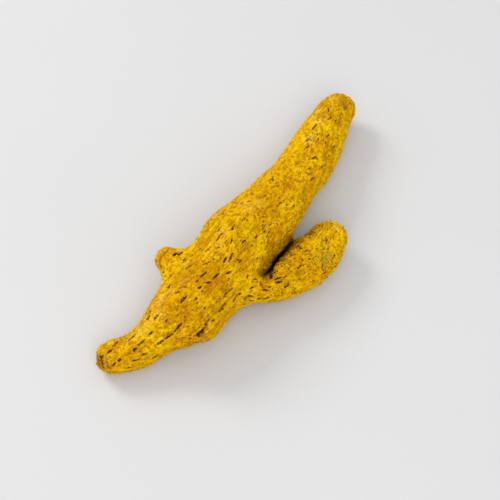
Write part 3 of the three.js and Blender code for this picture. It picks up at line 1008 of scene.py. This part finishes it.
GOLD = (0.81, 0.435, 0.0)
BRIGHT_GOLD = (0.87, 0.54, 0.0)
OCHRE = (0.57, 0.235, 0.0)
# Rust's orange-brown, also used as painted shade.
RUST_AND_SHADE = (0.40, 0.125, 0.0)
UMBER = (0.20, 0.075, 0.0)
# Pale powder's colour, used for painted highlights too.
POWDER_AND_HIGHLIGHT = (0.86, 0.68, 0.26)
OLIVE = (0.30, 0.235, 0.03)
# Near-black of a pit's bottom: its own brown deepened as painted shade.
PIT_BROWN_AND_SHADE = (0.06, 0.018, 0.001)
CLEFT_STAIN_AND_SHADE = (0.11, 0.035, 0.001)
# Painted shade: near-black inside the cleft and at the bottom of the deepest pits and cracks.
PAINTED_DEEP_SHADE = (0.02, 0.007, 0.001)
FLOOR_GREYS = (0.60, 0.598, 0.596), (0.61, 0.608, 0.606)

# The colours' noises, with the same values as those of the relief.
FIBRE_NOISE = (0.22, 2.6, 2.0, 0.6)
THREAD_NOISE = (0.16, 1.9, 3.0, 0.65, 0.4)
COLOUR_NOISES = {
    "broad": (0.13,), "mottle": (0.8, 3.0, 0.65), "speckle": (3.2, 2.0, 0.6), "gaps": (1.3,),
    "dust": (0.5, 3.0), "grains": (4.5, 2.0, 0.7), "fray": (4.2, 2.0, 0.6),
    "pits": (2.6, 2.0, 0.6), "lips": (1.1,), "bump": (5.0, 3.0),
}
GNARLED_HOLLOW_SHADE = -0.6  # how the side finger's and the bud's painted shade in the hollows differs, as a share
PIT_FRAY = 1.7  # how ragged the pits and the cleft's stain and painted shade are at their edges
CLEFT_FRAY = 4.0

# Factors of a share: a measure as it is, or from and to which value of it, and how much the
# factor is at either end, from 0 to 1 where that isn't said.
# How dark a pit is grows with its depth: its own brown, deepened as painted shade.
DARKNESS = (("pit_depth", 0.08, 0.28, 0.45, 1.0), ("pits", 0.38, 0.58, 0.78, 1.0))
DEEP_DARKNESS = (("pit_depth", 0.4, 0.55),)
# The cleft's dark stain and painted shade: along its sides, and in the stain patches.
STAINED_AND_SHADED_SIDES = (("from_cleft", 0.4, 1.8, 0.8, 0.0),)
STAIN_AND_SHADE_BLOTCHES = (("stain",), ("blotches", 0.42, 0.62))

# Layers, each a colour and the factors of its share: those inside a pit and those of the skin.
# Inside a pit: umber that darkens with depth, the pit's own brown with painted shade in the deeper ones.
PIT_LAYERS = (
    (PIT_BROWN_AND_SHADE, ("pit_depth", 0.12, 0.3)),
    (PAINTED_DEEP_SHADE, ("pit_depth", 0.45, 0.7)),
)
SKIN_LAYERS = (
    (BRIGHT_GOLD, ("broad", 0.35, 0.65)),
    (OCHRE, ("mottle", 0.5, 0.68, 0.0, 0.55)),
    (OCHRE, ("fibres", 0.54, 0.66, 0.0, 0.6)),
    (UMBER, ("threads",), ("gaps", 0.48, 0.6, 0.0, 0.55)),
    (UMBER, ("speckle", 0.6, 0.68, 0.0, 0.7)),
    # Painted shade: orange-brown darkening in the low places of the relief.
    (RUST_AND_SHADE, ("height", -0.36, -0.12, 0.5, 0.0), ("rusting",)),
    # Pale dust on the relief's high places, partly painted highlight.
    (POWDER_AND_HIGHLIGHT, ("height", 0.0, 0.2), ("dust", 0.5, 0.7, 0.0, 0.18)),
    # Powder patches, partly painted highlight.
    (POWDER_AND_HIGHLIGHT, ("powder",), ("grains", 0.54, 0.58, 0.0, 0.8)),
    # Rust patches, with painted shade and painted shadow along the cleft.
    (RUST_AND_SHADE, ("rust",), ("mottle", 0.3, 0.6, 0.4, 1.0)),
    (OLIVE, ("olive",), ("speckle", 0.35, 0.6, 0.3, 1.0)),
    # Painted highlight: pale lips round the dark pits.
    (POWDER_AND_HIGHLIGHT, ("reach", 1.2, 1.6), ("reach", 1.7, 2.4, 1.0, 0.0), ("lips", 0.52, 0.66, 0.06, 0.3), ("dark",)),
    (OCHRE, ("reach", 1.0, 2.6, 0.5, 0.0), ("dark",)),
    ("inside", ("reach", 0.7, 1.25, 1.0, 0.0), ("dark",)),
    # Stain and painted shade along the cleft and in the stain patches.
    (CLEFT_STAIN_AND_SHADE, ("stained",)),
    # Painted shade inside the cleft, darker the deeper its walls lie.
    (PAINTED_DEEP_SHADE, ("cleft",)),
)
FINE_BUMP = 0.2
BUMP_SHARE = 0.8  # of the fibres, and of the mottle, in it
FLOOR_NOISE = (14.0, 3.0)
FLOOR_TONES = (0.3, 0.7)


def skin_measures(draw):
    """The noises and the values on the mesh that the skin's colours go by."""
    place = draw.put("ShaderNodeTexCoord", out="Object")
    place = draw.vector("MULTIPLY", place, (1 / MM,) * 3)
    found = {name: draw.noise(place, *values) for name, values in COLOUR_NOISES.items()}
    for name in ("height", "pit_depth", "cleft", *PATCHES):
        found[name] = draw.read(name)
    found["fibres"] = limb_noise(draw, *FIBRE_NOISE)
    found["threads"] = draw.ridges(limb_noise(draw, *THREAD_NOISE))
    # How strong that painted shade in the hollows is: weaker on the side finger and the bud.
    gnarled = draw.add(draw.read("side_share"), draw.read("bud_share"))
    found["rusting"] = draw.math("MULTIPLY_ADD", gnarled, GNARLED_HOLLOW_SHADE, 1.0)
    frayed = draw.centred(found["fray"])
    for name, place, fray in (("reach", "pit_reach", PIT_FRAY), ("from_cleft", "from_cleft", CLEFT_FRAY)):
        found[name] = draw.add(draw.read(place), draw.times(frayed, fray))
    found["blotches"] = draw.add(frayed, found["mottle"])
    for name, some, others in (
        ("dark", DARKNESS, DEEP_DARKNESS),
        ("stained", STAINED_AND_SHADED_SIDES, STAIN_AND_SHADE_BLOTCHES),
    ):
        found[name] = draw.math("MAXIMUM", draw.share(found, some), draw.share(found, others))
    found["inside"] = draw.layered(found, UMBER, PIT_LAYERS)
    return found


def skin_material():
    draw = MaterialSketch("dried_skin", roughness=0.9, specular=0.05)
    found = skin_measures(draw)
    draw.feed(draw.shader, "Base Color", draw.layered(found, GOLD, SKIN_LAYERS))
    coarse_grain = [draw.times(found[name], BUMP_SHARE) for name in ("fibres", "mottle")]
    grain = draw.add(found["bump"], *coarse_grain)
    bump = draw.put("ShaderNodeBump", Strength=1.0, Distance=FINE_BUMP * MM, Height=grain)
    draw.feed(draw.shader, "Normal", bump)
    return draw.material


def floor_material():
    draw = MaterialSketch("pale_floor", roughness=0.6, specular=0.2)
    place = draw.put("ShaderNodeTexCoord", out="Object")
    tone = draw.ramp(draw.noise(place, *FLOOR_NOISE), *FLOOR_TONES)
    draw.feed(draw.shader, "Base Color", draw.blend(tone, *FLOOR_GREYS))
    return draw.material


# Putting it together.


def finish_in_metres(piece):
    """Keeps a piece above the floor, scales it to the frame's metres and shades it smooth."""
    mesh = piece.data
    points = positions(mesh)
    points[:, 2] = np.maximum(points[:, 2], 0.0)
    mesh.vertices.foreach_set("co", (points * MM).ravel())
    mesh.update()
    mesh.polygons.foreach_set("use_smooth", [True] * len(mesh.polygons))


def make_root():
    material = skin_material()
    skin = solid_in_millimetres()
    change(skin, "SUBSURF", levels=SMOOTHING_LEVELS, render_levels=SMOOTHING_LEVELS)
    whole = search_tree(skin.data)
    cut_cleft(skin, whole)
    change(skin, "REMESH", mode="VOXEL", voxel_size=SKIN_PITCH, use_smooth_shade=True)
    change(skin, "SMOOTH", factor=LIP_SOFTNESS, iterations=LIP_ROUNDING)
    tree = search_tree(skin.data)
    write_cleft(skin.data, whole)
    write_limb_places(skin.data)
    write_patches(skin.data, tree)
    write_eyes(skin.data, tree)
    write_seen(skin.data)
    marks = joined_marks([drawn_marks(tree), *scattered_pits(skin, material)])
    relief_tree(material).set_on(skin, {**RELIEF, "Marks": marks})
    bake_modifiers(skin)
    remove(marks)
    triangles = sum(len(p.vertices) - 2 for p in skin.data.polygons)
    change(skin, "DECIMATE", ratio=SKIN_TRIANGLES / triangles, use_collapse_triangulate=True)
    finish_in_metres(skin)
    skin.name = "root_skin"
    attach(skin, BODY)
    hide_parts(ROOT_NODE)


FLOOR_HALF = 1500.0
NEAREST_SEEN = 10.0  # by the camera

# The soft lights: place, size, power in watts and colour.
LIGHTS = {
    "window": ((40.0, 560.0, 400.0), 260.0, 2.4, (1.0, 0.99, 0.975)),
    "fill": ((-330.0, -330.0, 460.0), 500.0, 2.3, (0.985, 0.99, 1.0)),
}
ROOM_COLOUR = (0.98, 0.985, 1.0, 1.0)
ROOM_STRENGTH = 0.715


def make_floor():
    half = FLOOR_HALF * MM
    corners = [(-half, -half, 0), (half, -half, 0), (half, half, 0), (-half, half, 0)]
    floor = new_object("floor", mesh_from("floor", corners, [(0, 1, 2, 3)]))
    floor.data.materials.append(floor_material())


def make_light():
    """Square soft boxes that face the root, in a pale room."""
    for name, (place, size, power, colour) in LIGHTS.items():
        light = bpy.data.lights.new(name, "AREA")
        light.size = size * MM
        light.energy = power
        light.color = colour
        lamp = new_object(name, light)
        lamp.location = Vector(place) * MM
        lamp.rotation_euler = (AIM * MM - lamp.location).to_track_quat("-Z", "Y").to_euler()
    world = bpy.data.worlds.new("room")
    world.use_nodes = True
    background = world.node_tree.nodes["Background"]
    background.inputs["Color"].default_value = ROOM_COLOUR
    background.inputs["Strength"].default_value = ROOM_STRENGTH
    bpy.context.scene.world = world


def make_camera():
    camera = new_object("camera", bpy.data.cameras.new("camera"))
    camera.data.lens = LENS
    camera.data.sensor_width = SENSOR
    camera.data.clip_start = NEAREST_SEEN * MM
    camera.location = EYE * MM
    camera.rotation_mode = "QUATERNION"
    camera.rotation_quaternion = FORWARD.to_track_quat("-Z", "Y")
    bpy.context.scene.camera = camera


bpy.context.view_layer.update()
make_camera()
make_root()
make_floor()
make_light()
bpy.context.scene.view_settings.view_transform = "Standard"
